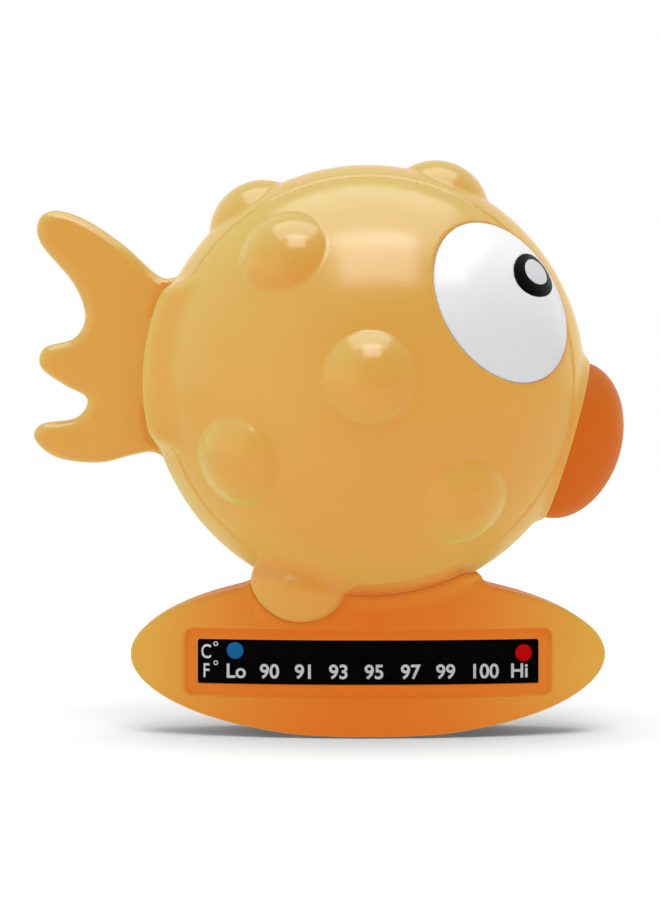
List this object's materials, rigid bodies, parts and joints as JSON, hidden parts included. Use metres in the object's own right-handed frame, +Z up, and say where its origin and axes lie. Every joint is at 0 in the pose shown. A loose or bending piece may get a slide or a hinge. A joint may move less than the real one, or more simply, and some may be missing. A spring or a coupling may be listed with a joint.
{
  "type": "floating bath thermometer",
  "caption": "Round fish-shaped float with domed eyes, tail fin and lips on an oval base, whose front holds a liquid-crystal temperature strip.",
  "frame": {"origin": "middle of the flat under the base, on the surface the object rests on", "axes": "+Z up, +X the way the fish looks, -Y the side with the temperature strip"},
  "size_m": [0.1357, 0.0844, 0.1312],
  "materials": {
    "body_plastic": "glossy pale orange moulded plastic",
    "base_plastic": "glossy deeper orange moulded plastic",
    "mouth_plastic": "glossy deep orange moulded plastic",
    "eye_white": "glossy white moulded plastic",
    "pupil_black": "glossy black inlay",
    "glint_grey": "pale grey inlay",
    "scale_black": "black printed polyester film",
    "crystal": "dark liquid-crystal film",
    "cold_blue": "blue ink",
    "hot_red": "red ink",
    "window_clear": "clear film over the scale",
    "pad": "soft adhesive foam pad",
    "seal_rubber": "soft black rubber",
    "steel": "plated steel"
  },
  "bodies": {
    "root": {"centre_band": "body_plastic", "front_side_shell": "body_plastic", "rear_side_shell": "body_plastic", "tail_fin": "body_plastic", "tail_pins": "steel", "front_eye": "eye_white", "rear_eye": "eye_white", "front_pupil": "pupil_black", "rear_pupil": "pupil_black", "front_glint": "glint_grey", "rear_glint": "glint_grey", "eye_clips": "steel", "mouth": "mouth_plastic", "mouth_clip": "steel", "base_shell": "base_plastic", "neck_seal": "seal_rubber", "neck_screws": "steel", "ballast_weight": "steel", "ballast_screws": "steel", "bottom_cover": "base_plastic", "cover_seal": "seal_rubber", "cover_screws": "steel", "strip_pad": "pad", "crystal_film": "crystal", "scale_film": "scale_black", "cold_mark": "cold_blue", "hot_mark": "hot_red", "strip_window": "window_clear"}
  },
  "joints": []
}
